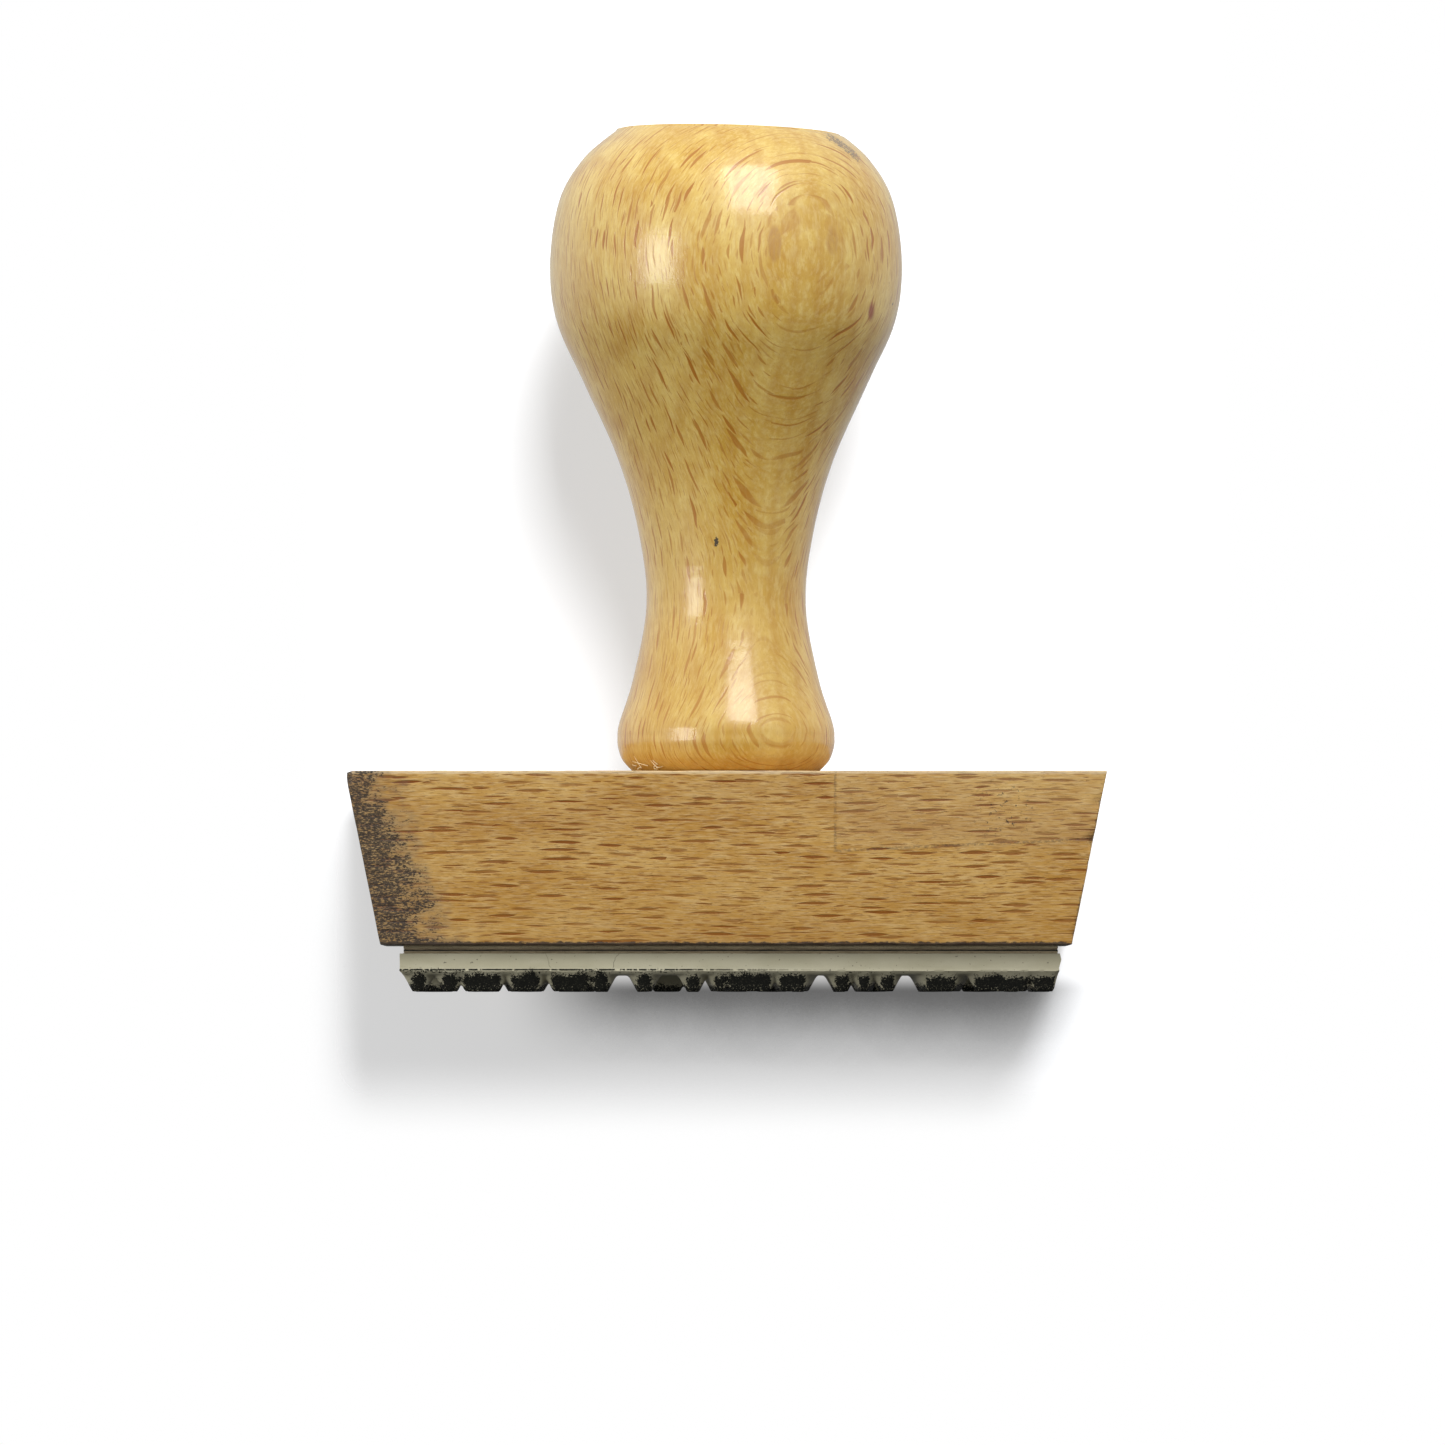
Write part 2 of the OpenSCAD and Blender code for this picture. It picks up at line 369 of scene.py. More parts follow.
def handle_marks(s, wood, colour):
    """The marks of use and growth on the handle: two large face-on rays, a knot, an inky smear and dots."""
    grime = s.cloud(s.stretch(s.x, s.y, s.z, (0.25, 0.25, 0.2)), detail=4, rough=0.75)
    smear = s.streak((11.6, -6.6, 84.0), (0.79, 0.18, -0.59), 4.2, 2.6)
    smear = s.times(s.step(s.plus(s.times(smear, 0.5), grime), 0.90, 1.02), 0.8)
    chip = s.spot((-0.95, -8.4, 44.6), 1.0, 0.95, (0.55, 2, 1.3))
    chip = s.step(s.plus(s.times(chip, 0.65), grime), 0.95, 1.03)
    knot = s.spot((14.4, -9.0, 67.5), 0.9, 0.7, (0.6, 1.4, 1.5))
    eyes = s.most(s.spot((4.8, -16.9, 73.7), 2.1, 0.3, (0.38, 1, 1)),
                  s.spot((10.5, -14.0, 74.1), 2.0, 0.7, (0.45, 1, 1)))
    dots = ((-6.6, -13.3, 82.3), (16.2, -3.5, 79.1), (16.6, -4.7, 68.5))
    dots = s.most(*(s.spot(place, 0.2, 0.5) for place in dots))
    colour = s.mix(s.times(eyes, s.step(wood["fibre"], 0.3, 0.6, 0.3, 0.6)), colour, (0.42, 0.18, 0.03))
    colour = s.mix(s.times(knot, 0.8), colour, (0.30, 0.05, 0.015))
    return s.mix(s.times(s.most(smear, chip, dots), 0.92), colour, (0.02, 0.02, 0.024))


def lacquered_beech():
    """Golden lacquer over turned beech, whose rays lie face on a little to the right of the front."""
    s = Shader("lacquered_beech")
    wood = beech(s, RAY_ACROSS, RAY_OUT, (0, 0, 1), 0.17)
    colour = beech_colour(s, wood, (0.65, 0.39, 0.045), (0.83, 0.61, 0.160), (0.95, 0.79, 0.33),
                          (0.44, 0.165, 0.009))
    # Painted shade: the handle gets darker and warmer from the head down to the foot
    colour = s.mix(s.step(s.z, 60, 28, 0.0, 0.26), colour, (0.44, 0.22, 0.012))
    colour = handle_marks(s, wood, colour)
    normal = s.bump(s.plus(s.times(wood["fibre"], 0.3), s.times(wood["rays"], -0.5)), 0.03)

    # The lacquer is smooth in front, and follows the raised grain on the left
    orange_peel = s.cloud(s.place, 0.7, detail=4, rough=0.7)
    streaks = s.cloud(s.stretch(s.x, s.y, s.z, (0.45, 0.45, 3)), detail=3, rough=0.65)
    raised = s.times(streaks, s.step(s.x, -1, -5), 2.0)
    grain = s.plus(s.times(wood["fibre"], 0.15), s.times(wood["rays"], -0.3))
    coat = s.bump(s.plus(orange_peel, raised, grain), 0.02)
    return s.finish(Base_Color=colour, Roughness=0.45, Specular_Ior_Level=0.75, Normal=normal,
                    Coat_Weight=0.67, Coat_Roughness=0.05, Coat_Normal=coat)


def torn_fibre():
    """Pale wood where the lacquer did not reach."""
    s = Shader("torn_fibre")
    streaks = s.cloud(s.place, 0.4, detail=3)
    colour = s.mix(s.step(streaks, 0.35, 0.65), (0.80, 0.64, 0.36), (0.90, 0.79, 0.55))
    return s.finish(Base_Color=colour, Roughness=0.7, Normal=s.bump(streaks, 0.02))


def old_label(s, colour):
    """The grimy outline, and the slightly paler wood, of a label that has come off the front."""
    left_x, low_z, slope = 10.8, 13.9, 0.045
    front = s.step(s.y, -8.0, -9.0)
    dirt = s.cloud(s.stretch(s.x, s.y, s.z, (0.35, 1, 0.25)), detail=3, rough=0.7)
    lift = s.times(s.math("SUBTRACT", s.x, left_x), slope)
    lower = s.math("ABSOLUTE", s.math("SUBTRACT", s.z, s.plus(lift, low_z)))
    lower = s.times(s.step(lower, 0.25, 0.05), s.step(s.x, left_x - 0.3, left_x))
    left = s.math("ABSOLUTE", s.math("SUBTRACT", s.x, left_x))
    left = s.times(s.step(left, 0.2, 0.05), s.step(s.z, low_z - 0.2, low_z + 0.2))
    outline = s.times(s.most(lower, left), s.step(dirt, 0.40, 0.56), front, 0.45)
    inside = s.times(s.step(s.x, left_x, left_x + 0.5), s.step(s.z, low_z, low_z + 1.5), front, 0.12)
    colour = s.mix(inside, colour, (0.66, 0.50, 0.28))
    return s.mix(outline, colour, (0.10, 0.07, 0.05))


def mount_ink(s, colour, faces_front):
    """Black ink: grains on the left end, ragged lines along the lower and right edges, and a few specks."""
    low, high = box_of("mount_block")
    bottom_x = bottom_of("mount_block")[0]
    height = s.math("SUBTRACT", s.z, low[2])
    side_x = s.plus(s.times(height, (high[0] - bottom_x) / (high[2] - low[2])), bottom_x)
    grains = s.cloud(s.stretch(s.x, s.y, s.z, (0.36, 0.36, 0.14)), detail=4, rough=0.75)
    drift = s.cloud(s.stretch(s.x, s.y, s.z, (2.8, 2.8, 1.8)), detail=3, rough=0.65)
    reach = s.plus(s.times(side_x, -1.0), 2.4, s.times(drift, 12.0), s.times(height, -0.16))
    within = s.math("SUBTRACT", reach, s.x)
    cover = s.times(s.step(within, -2.2, 5.0, 0.12, 0.51), s.step(within, -3.0, -1.5))
    stain = s.step(s.plus(grains, cover), 0.93, 0.99)

    rag = s.times(s.cloud(s.stretch(s.x, s.y, s.z, (0.7, 0.7, 0.35)), detail=4, rough=0.7), -0.7)
    lower = s.step(s.plus(height, rag), 0.0, -0.15)
    right = s.step(s.plus(s.math("SUBTRACT", side_x, s.x), rag), -0.1, -0.25)
    right = s.times(right, s.step(drift, 0.5, 0.6), faces_front, 0.6)
    speck_zone = s.spot((27.5, -11.5, 17.8), 4.6, 0.8, (1, 3, 0.9))
    specks = s.times(speck_zone, s.step(s.cloud(s.place, 0.4, detail=3, rough=0.7), 0.60, 0.66))
    dot = s.spot((17.8, -9.6, 5.8), 0.3, 0.5, (0.6, 2, 1))

    ink = s.most(stain, lower, right, specks, dot)
    ink_colour = s.mix(s.step(grains, 0.45, 0.7), (0.050, 0.042, 0.038), (0.012, 0.010, 0.008))
    colour = s.mix(s.times(s.step(within, -0.5, 3.0), 0.4), colour, (0.19, 0.155, 0.12))
    return s.mix(s.times(ink, 0.9), colour, ink_colour)


def plain_beech():
    """Sanded beech with its grain along the mount, inked at the left end and along the lower edges."""
    s = Shader("plain_beech")
    low, high = box_of("mount_block")
    wood = beech(s, (0, 0, 1), (0, 1, 0), (1, 0, 0), 0.23, ray_step=5.2, sway=0.25)
    colour = beech_colour(s, wood, (0.60, 0.32, 0.060), (0.76, 0.475, 0.138), (0.97, 0.76, 0.40),
                          (0.24, 0.066, 0.003))
    # Painted shade: the mount gets darker towards its bottom
    colour = s.mix(s.step(s.z, high[2], low[2], 0.0, 0.24), colour, (0.36, 0.16, 0.01))

    # Bare pale wood along the front's upper edge, where the finish has rubbed off
    rub = s.cloud(s.stretch(s.x, s.y, s.z, (1.2, 0.3, 0.2)), detail=3, rough=0.7)
    arris = s.step(s.plus(s.z, s.times(rub, 0.3)), high[2] - 0.25, high[2] - 0.08)
    faces_front = s.step(s.split(s.normal())[1], -0.5, -0.8)
    arris = s.times(arris, faces_front)
    colour = s.mix(s.times(arris, 0.6), colour, (0.85, 0.69, 0.44))
    colour = old_label(s, colour)
    colour = mount_ink(s, colour, faces_front)
    relief = s.plus(s.times(wood["fibre"], 0.5), s.times(wood["rays"], -0.6), s.times(wood["pores"], -0.4))
    rough = s.step(wood["fibre"], 0.3, 0.7, 0.5, 0.66)
    return s.finish(Base_Color=colour, Roughness=rough, Specular_Ior_Level=0.35,
                    Normal=s.bump(relief, 0.05))


def relief_ink(s, rag):
    """Where the die is inked: far up the front of each outer mark, and only a little up the other sides.

    rag is the fine noise that makes the ink's upper edge ragged.
    """
    outward = s.times(s.split(s.normal())[1], s.math("SIGN", s.y))
    uneven = s.math("SUBTRACT", rag, 0.5)
    ragged = s.plus(outward, s.times(uneven, 0.6))
    outer = s.times(s.step(ragged, 0.67, 0.73), s.step(s.math("ABSOLUTE", s.y), 6.6, 7.0))
    wide = s.cloud(s.stretch(s.x, s.y, s.z, (1.4, 6, 6)), detail=1)
    climb = s.plus(s.times(outer, s.plus(1.05, s.times(s.x, -0.007))), 0.05, s.times(wide, 1.15))
    level = s.plus(climb, s.times(uneven, 2.4))
    ink = s.step(s.math("SUBTRACT", level, s.z), -0.02, 0.04)
    gaps = s.step(s.cloud(s.place, 0.16, detail=3, rough=0.7), 0.59, 0.64)
    ink = s.times(ink, s.math("SUBTRACT", 1.0, s.times(gaps, s.step(s.z, 0.9, 0.3, 0.1, 0.75))))

    # Broken black dashes in the crease under the floor's edge
    crease = s.math("ABSOLUTE", s.math("SUBTRACT", s.z, s.plus(2.1, s.times(rag, 0.1))))
    dashes = s.cloud(s.stretch(s.x, s.y, s.z, (0.45, 0.45, 3)), detail=3, rough=0.7)
    crease = s.times(s.step(crease, 0.11, 0.04), s.step(dashes, 0.40, 0.48), s.step(s.x, 14, -6))
    return s.most(ink, crease)


def floor_cracks(s):
    """Two hairline cracks in the front of the die's floor."""
    cracks = []
    for crack_x, lean in ((-17.6, 0.35), (-11.0, -0.3)):
        wander = s.times(s.math("SUBTRACT", s.cloud(s.place, 0.8, detail=2), 0.5), 0.7)
        bend = s.times(s.math("SUBTRACT", s.z, 3.0), lean)
        gap = s.math("ABSOLUTE", s.plus(s.x, -crack_x, bend, wander))
        cracks.append(s.times(s.step(gap, 0.045, 0.015), s.step(s.z, 2.2, 2.5), s.step(s.y, 0, -1)))
    return s.most(*cracks)


def die_rubber():
    """Cream moulded rubber, darker to the right, with painted shade along its top and black ink on its
    relief.
    """
    s = Shader("die_rubber")
    soft = s.cloud(s.stretch(s.x, s.y, s.z, (6, 6, 2)), detail=3)
    fine = s.cloud(s.place, 0.12, detail=3, rough=0.7)
    colour = s.mix(s.step(soft, 0.35, 0.65), (0.46, 0.43, 0.295), (0.52, 0.49, 0.35))
    colour = s.mix(s.times(s.step(fine, 0.5, 0.8), 0.3), colour, (0.30, 0.27, 0.19))
    # Darker to the right and on the relief below the floor; painted shade along the top, under the mount's
    # overhang
    darkening_and_painted_shade = s.plus(s.step(s.x, -25, 25, 0.0, 0.38), s.step(s.z, 2.1, 1.6, 0.0, 0.1),
                   s.step(s.z, 2.3, 3.7, 0.0, 0.29))
    colour = s.mix(darkening_and_painted_shade, colour, (0.24, 0.22, 0.150))
    specks = s.step(s.cloud(s.place, 0.3, detail=1), 0.72, 0.75)
    colour = s.mix(s.times(s.most(specks, floor_cracks(s)), 0.7), colour, (0.09, 0.08, 0.06))
    rag = s.cloud(s.place, 0.22, detail=3, rough=0.8)
    ink = relief_ink(s, rag)
    colour = s.mix(s.times(ink, 0.98), colour, (0.006, 0.007, 0.0065))
    lumps = s.plus(s.times(ink, s.plus(fine, rag)), s.times(fine, 0.2))
    return s.finish(Base_Color=colour, Roughness=s.step(ink, 0, 1, 0.62, 0.7),
                    Specular_Ior_Level=s.step(ink, 0, 1, 0.4, 0.12), Normal=s.bump(lumps, 0.05))


def cushion_rubber():
    """Grey-olive cushion ply, grimy along its cut edge, with a black band of painted shade low in the
    cushion, over the die.
    """
    s = Shader("cushion_rubber")
    cells = s.cloud(s.place, 0.16, detail=2, rough=0.7)
    dirt = s.cloud(s.stretch(s.x, s.y, s.z, (3, 3, 0.3)), detail=4, rough=0.7)
    colour = s.mix(s.step(dirt, 0.35, 0.7), (0.52, 0.43, 0.27), (0.33, 0.27, 0.165))
    # Painted shade: a black band low in the cushion, in the crease over the die
    black = s.times(s.step(s.plus(s.z, s.times(dirt, 0.2)), 4.25, 4.15), s.step(s.z, 3.93, 4.0))
    colour = s.mix(black, colour, (0.016, 0.013, 0.009))
    colour = s.mix(s.times(s.step(cells, 0.55, 0.7), 0.4), colour, (0.08, 0.07, 0.05))
    return s.finish(Base_Color=colour, Roughness=0.8, Normal=s.bump(cells, 0.06))


def adhesive_film():
    """Tacky film, smudged along its edge, and black with painted shade where it lies low in the cushion,
    over the die.
    """
    s = Shader("adhesive_film")
    smut = s.cloud(s.stretch(s.x, s.y, s.z, (1.5, 1.5, 0.2)), detail=4, rough=0.7)
    colour = s.mix(s.step(smut, 0.4, 0.65), (0.24, 0.18, 0.11), (0.46, 0.36, 0.22))
    # Painted shade: the film is black where it lies low in the cushion, over the die
    black = s.times(s.step(s.z, 4.2, 4.1), s.step(s.z, 3.93, 4.0))
    colour = s.mix(black, colour, (0.016, 0.013, 0.009))
    return s.finish(Base_Color=colour, Roughness=0.35, Normal=s.bump(smut, 0.03))


def wood_glue():
    """Dried yellowish wood glue."""
    s = Shader("wood_glue")
    flow = s.cloud(s.place, 0.9, detail=3)
    colour = s.mix(s.step(flow, 0.35, 0.65), (0.70, 0.58, 0.34), (0.55, 0.42, 0.2))
    return s.finish(Base_Color=colour, Roughness=0.3, Normal=s.bump(flow, 0.05))


def zinc_plated_steel():
    """Dull zinc over drawn wire, scuffed by the driver and the wood."""
    s = Shader("zinc_plated_steel")
    brushed = s.cloud(s.stretch(s.x, s.y, s.z, (1.2, 1.2, 0.05)), detail=3)
    blotch = s.cloud(s.place, 1.3, detail=3)
    colour = s.mix(s.step(blotch, 0.35, 0.65), (0.52, 0.52, 0.50), (0.66, 0.66, 0.62))
    rough = s.step(brushed, 0.3, 0.7, 0.28, 0.45)
    return s.finish(Base_Color=colour, Metallic=1.0, Roughness=rough, Normal=s.bump(brushed, 0.01))


# ---------------------------------------------------------------- the handle

# Fall of the head's sawn top for each millimetre to the right
HEAD_CUT_SLOPE = 0.027


def handle_outline(radius, height, top_z):
    """Radii and heights up the outside of the handle, smoothed, from its points."""
    outside = dict(sorted((round(z, 2), r) for r, z in zip(radius, height) if r > 6))
    heights, radii = np.array(list(outside)), np.array(list(outside.values()))
    keep = heights < top_z - 0.05
    curve = smooth_curve(radii[keep], heights[keep], 2)
    return curve[:, 0], curve[:, 1]


def make_handle(material):
    """The turned handle, smoother than the CAD's rings, with its flat top sawn a little askew."""
    points = points_of("handle")
    radius = np.hypot(points[:, 0], points[:, 1])
    low, high = box_of("handle")
    bore = (radius < 3) & (points[:, 2] < high[2] - 5)
    bore_r, bore_top = radius[bore].max(), points[bore, 2].max()
    outline_r, outline_z = handle_outline(radius, points[:, 2], high[2])
    shoulder_z, rim = high[2] - 12, 0.22

    def cut_height(angle):
        """Height of the sawn top at its rim, at that angle round the handle."""
        z = high[2]
        for _ in range(4):
            r = np.interp(z, outline_z, outline_r)
            z = high[2] - HEAD_CUT_SLOPE * (r * math.cos(angle) + outline_r[-1])
        return z

    def ring(z, drop=0.0, inset=0.0):
        """A ring of the outside that follows the sawn top, inset from it by that much."""
        def at(angle):
            top = cut_height(angle)
            place = z
            if z > shoulder_z:
                place = shoulder_z + (z - shoulder_z) * (top - shoulder_z) / (high[2] - shoulder_z)
            r = np.interp(min(place, outline_z[-1]), outline_z, outline_r)
            x, y = math.cos(angle), math.sin(angle)
            worn = 0.03 * (1 + ripple(x * 9, y * 9, place, 7)) + 0.01 * (1 + ripple(x * 9, y * 9, place, 2))
            return r - worn - inset, place - drop
        return at

    def top_ring(share):
        """A ring of the sawn top, from 1 at its rim to 0 at its middle."""
        def at(angle):
            r = (ring(high[2])(angle)[0] - rim) * share
            mark = 0.012 * math.cos(r * 9)
            middle_z = high[2] - HEAD_CUT_SLOPE * outline_r[-1]
            return r, middle_z - HEAD_CUT_SLOPE * r * math.cos(angle) - 0.02 + mark * (share < 0.98)
        return at

    rings = [(0.02, bore_top), (bore_r, bore_top), (bore_r, low[2] + 0.2), (bore_r + 0.2, low[2])]
    rings += [(outline_r[0] * share, low[2]) for share in (0.4, 0.7)]
    rings += [ring(low[2], inset=0.15), ring(low[2] + 0.05, inset=0.05)]
    rings += [ring(z) for z in outline_z if low[2] + 0.1 < z < high[2] - rim]
    rings += [ring(high[2], drop=rim), ring(high[2], drop=rim * 0.3, inset=rim * 0.3)]
    rings += [top_ring(share) for share in (1, 0.98, 0.9, 0.8, 0.7, 0.6, 0.5, 0.4, 0.3, 0.2, 0.1, 0.002)]
    points, faces = lathe(rings, 192)
    return piece("turned_handle", points, faces, material, "handle", sharp=60)


def make_splinters(material):
    """A few pale fibres torn up round the foot's lower left edge when it was turned."""
    foot = points_of("handle")
    start_z = foot[:, 2].min() + 0.5
    start_r = np.hypot(*foot[np.abs(foot[:, 2] - start_z) < 1][:, :2].T).max() - 0.5
    rng = np.random.default_rng(4)
    points, faces = [], []
    steps, sides, thick = 8, 5, 0.06
    for n in range(9):
        angle = math.radians(rng.uniform(196, 228))
        out = Vector((math.cos(angle), math.sin(angle), 0))
        start = out * start_r + Vector((0, 0, start_z + rng.uniform(-0.5, 0.2)))
        way = (out * 0.6 + Vector((rng.uniform(-1, 1), 0, rng.uniform(-0.2, 0.9)))).normalized()
        curl = Vector((rng.uniform(-1, 1), rng.uniform(-0.5, 0.5), rng.uniform(-0.2, 1))) * 0.3
        length = rng.uniform(0.6, 1.6)
        for k in range(steps + 1):
            share = k / steps
            place = start + way * length * share + curl * share * share
            width = thick * (1 - 0.8 * share)
            for i in range(sides):
                turn = 2 * math.pi * i / sides
                points.append(place + Vector((math.cos(turn), 0, math.sin(turn))) * width)
        first = n * (steps + 1) * sides
        for k in range(steps):
            for i in range(sides):
                j = (i + 1) % sides
                a, b = first + k * sides, first + (k + 1) * sides
                faces.append((a + i, a + j, b + j, b + i))
        faces.append(tuple(first + i for i in reversed(range(sides))))
        faces.append(tuple(first + steps * sides + i for i in range(sides)))
    return piece("foot_splinters", points, faces, material, None)


def make_glue(material):
    """The film of glue under the foot, with the uneven edge that it was squeezed out to."""
    low, high = box_of("handle_glue")
    inner = np.hypot(*points_of("handle_glue")[:, :2].T).min()

    def ring(radius, height, uneven):
        def at(angle):
            x, y = math.cos(angle), math.sin(angle)
            return radius - uneven * (1 + ripple(x * 4, y * 4, 0, 1.3)), height
        return at

    outer = high[0]
    path = [ring(inner, low[2], 0), ring(outer, low[2], 0.25), ring(outer, (low[2] + high[2]) / 2, 0.15),
            ring(outer, high[2], 0.25), ring(inner, high[2], 0)]
    segments = 96
    points, faces = lathe(path, segments)

    # The film is open in the middle, so its last ring joins its first instead of having caps
    faces = faces[:-2]
    last = (len(path) - 1) * segments
    for i in range(segments):
        j = (i + 1) % segments
        faces.append((last + i, last + j, j, i))
    return piece("glue_film", points, faces, material, "handle_glue")


# ---------------------------------------------------------------- the screw

def make_screw(material):
    """The wood screw, with a true helical thread and a slotted countersunk head."""
    points = points_of("handle_screw")
    radius = np.hypot(points[:, 0], points[:, 1])
    low, high = box_of("handle_screw")
    head_r = radius.max()
    shank_r = radius[points[:, 2] > low[2] + head_r + 2].max()
    root_r = shank_r * 0.7
    pitch, thread_z, tip = 1.8, low[2] + 15, 4.0
    segments, slot_half, slot_depth = 64, 0.5, 1.0

    def thread(z):
        def at(angle):
            fade_in = smoothstep(z, thread_z, thread_z + 1.5)
            point = smoothstep(high[2] - z, 0, tip)
            turn = ((z - thread_z) / pitch - angle / (2 * math.pi)) % 1
            crest = max(0, 1 - abs(turn - 0.5) / 0.3) ** 0.8
            body = shank_r + (root_r - shank_r) * fade_in
            return max(0.01, (body + (shank_r - root_r) * crest * fade_in) * point ** 0.6), z
        return at

    cone = head_r - shank_r
    rings = [(0.01, low[2]), (head_r * 0.45, low[2]), (head_r * 0.9, low[2])]
    rings += [(head_r - 0.06, low[2] + 0.03), (head_r, low[2] + 0.12), (head_r, low[2] + 0.36)]
    rings += [(head_r - share * cone, low[2] + 0.4 + share * cone) for share in (0.02, 0.5, 0.97)]
    rings += [(shank_r, z) for z in np.linspace(low[2] + 3, thread_z, 8)]
    rings += [thread(z) for z in np.linspace(thread_z + 0.05, high[2] - 0.02, 220)]
    points, faces = lathe(rings, segments)
    screw = piece("wood_screw", points, faces, material, "handle_screw", sharp=30)
    cut_points, cut_faces = rounded_box((head_r + 1, slot_half, slot_depth), 0.05, (3, 1, 1))
    cutter = bpy.data.meshes.new("slot_cutter")
    cutter.from_pydata(((cut_points + (0, 0, low[2])) * MM).tolist(), [], cut_faces)
    cut(screw, cutter)
    return screw


def cut(shape, cutter_mesh):
    """Takes a mesh out of a piece for good."""
    cutter = bpy.data.objects.new("cutter", cutter_mesh)
    bpy.context.scene.collection.objects.link(cutter)
    modifier = shape.modifiers.new("cut", "BOOLEAN")
    modifier.operation = "DIFFERENCE"
    modifier.solver = "EXACT"
    modifier.object = cutter
    graph = bpy.context.evaluated_depsgraph_get()
    result = bpy.data.meshes.new_from_object(shape.evaluated_get(graph))
    shape.modifiers.clear()
    shape.data = result
    bpy.data.objects.remove(cutter)


# ---------------------------------------------------------------- the mount

# Nicks in the front edges of the mount: x, z and size in millimetres
NICKS = [(36.2, 14.9, 0.9), (35.7, 12.9, 0.5), (36.9, 18.6, 0.5), (34.7, 5.6, 0.6), (-37.4, 21.4, 0.8)]


def make_mount(material):
    """The tapered beech block, with its corners rubbed round, small nicks and the screw's hole."""
    low, high = box_of("mount_block")
    wide = np.array(bottom_of("mount_block")) / high[:2]
    half = np.array([high[0], high[1], (high[2] - low[2]) / 2])
    middle_z = (high[2] + low[2]) / 2
    points, faces = rounded_box(half, 0.12, 0.5)
    placed = []
    for x, y, z in points:
        # Distances to the block's faces. The first is 0 on a face, and the second is small near an edge.
        near = sorted([half[0] - abs(x), half[1] - abs(y), half[2] - abs(z)])
        edge = 1 - smoothstep(near[1], 0.0, 0.9)
        share = (z + half[2]) / (2 * half[2])
        scale = wide + (1 - wide) * share
        real_x, real_z = x * scale[0], z + middle_z
        rub = 0.05 * max(0, ripple(x, y, z, 2.1)) + 0.06 * max(0, ripple(x, y, z, 5.0, 2))
        for nick_x, nick_z, size in NICKS:
            away = math.hypot(real_x - nick_x, real_z - nick_z) / size
            rub += 0.5 * size * max(0, 1 - away) * (y < 0)
        pull = np.array([x, y, z]) / half
        sawn = 0.02 * ripple(x, y, z, 3.0, 3)
        inward = np.sign(pull) * (np.abs(pull) > 0.9) * edge * rub
        flat = np.sign(pull) * (np.array([near[0]] * 3) < 0.01) * (np.abs(pull) > 0.999) * abs(sawn)
        x, y, z = np.array([x, y, z]) - inward - flat
        placed.append((x * scale[0], y * scale[1], z + middle_z))
    mount = piece("beech_mount", placed, faces, material, "mount_block", sharp=50)
    cut(mount, hole_cutter(low[2], high[2]))
    return mount


def hole_cutter(bottom_z, top_z):
    """The countersunk hole for the screw, as a mesh to cut with. It is as wide as the CAD's own hole."""
    corners = points_of("mount_block")
    hole = corners[np.hypot(corners[:, 0], corners[:, 1]) < 8]
    hole_r = np.hypot(hole[:, 0], hole[:, 1])
    wide_r, thin_r = hole_r.max(), hole_r.min()
    recess = hole[hole_r > wide_r - 0.01, 2].max()
    rings = [(0.02, bottom_z - 1), (wide_r, bottom_z - 1), (wide_r, recess)]
    rings += [(thin_r, recess + wide_r - thin_r), (thin_r, top_z + 1), (0.02, top_z + 1)]
    points, faces = lathe(rings, 64)
    cutter = bpy.data.meshes.new("hole_cutter")
    cutter.from_pydata((np.array(points) * MM).tolist(), [], faces)
    return cutter


# ---------------------------------------------------------------- the cushion

def make_layer(name, node, material, uneven, bulge=0.0):
    """A thin layer between the mount and the die, with the uneven edge of one trimmed by hand."""
    low, high = box_of(node)
    middle, half = (low + high) / 2, (high - low) / 2
    points, faces = rounded_box(half, half[2] * 0.45, (0.6, 2.0, 1.0))
    placed = []
    for x, y, z in points:
        rim = max(0.0, 1 - min(half[0] - abs(x), half[1] - abs(y)) / 1.0)
        pull = uneven * (1 + ripple(x, y, middle[2] * 9, 2.2) + 0.5 * ripple(x, y, middle[2] * 9, 0.7, 4))
        pull = max(0.0, pull - bulge * (1 - (z / half[2]) ** 2)) * rim
        x -= math.copysign(pull, x) * (half[0] - abs(x) < 1)
        y -= math.copysign(pull, y) * (half[1] - abs(y) < 1)
        placed.append((x + middle[0], y + middle[1], z + middle[2]))
    return piece(name, placed, faces, material, node)


# ---------------------------------------------------------------- the die

# Keeps rays clear of the exact edges of the CAD die, in millimetres
INNER = 0.004


def relief_heights(solid, xs, ys, edge_z):
    """Height of the die's underside at each place of a grid, edge_z where there is none over it."""
    heights = np.empty((len(xs), len(ys)))
    for i, x in enumerate(xs):
        for j, y in enumerate(ys):
            hit = solid.ray_cast(Vector((x, y, -5)), Vector((0, 0, 1)))[0]
            heights[i, j] = hit.z if hit else edge_z
    return heights


def soften_valleys(heights):
    """Blurs the valleys of a relief and leaves its printing faces crisp."""
    blurred = heights.copy()
    for _ in range(3):
        grown = np.pad(blurred, 1, mode="edge")
        blurred = (grown[:-2, 1:-1] + grown[2:, 1:-1] + grown[1:-1, :-2] + grown[1:-1, 2:]
                   + 2 * grown[1:-1, 1:-1]) / 6
    share = smoothstep(heights, 0.15, 0.9)
    return heights * (1 - share) + blurred * share


def border_of(columns, rows):
    """The places round the border of a grid, in order."""
    border = [(i, 0) for i in range(columns)]
    border += [(columns - 1, j) for j in range(1, rows)]
    border += [(i, rows - 1) for i in range(columns - 2, -1, -1)]
    border += [(0, j) for j in range(rows - 2, 0, -1)]
    return border


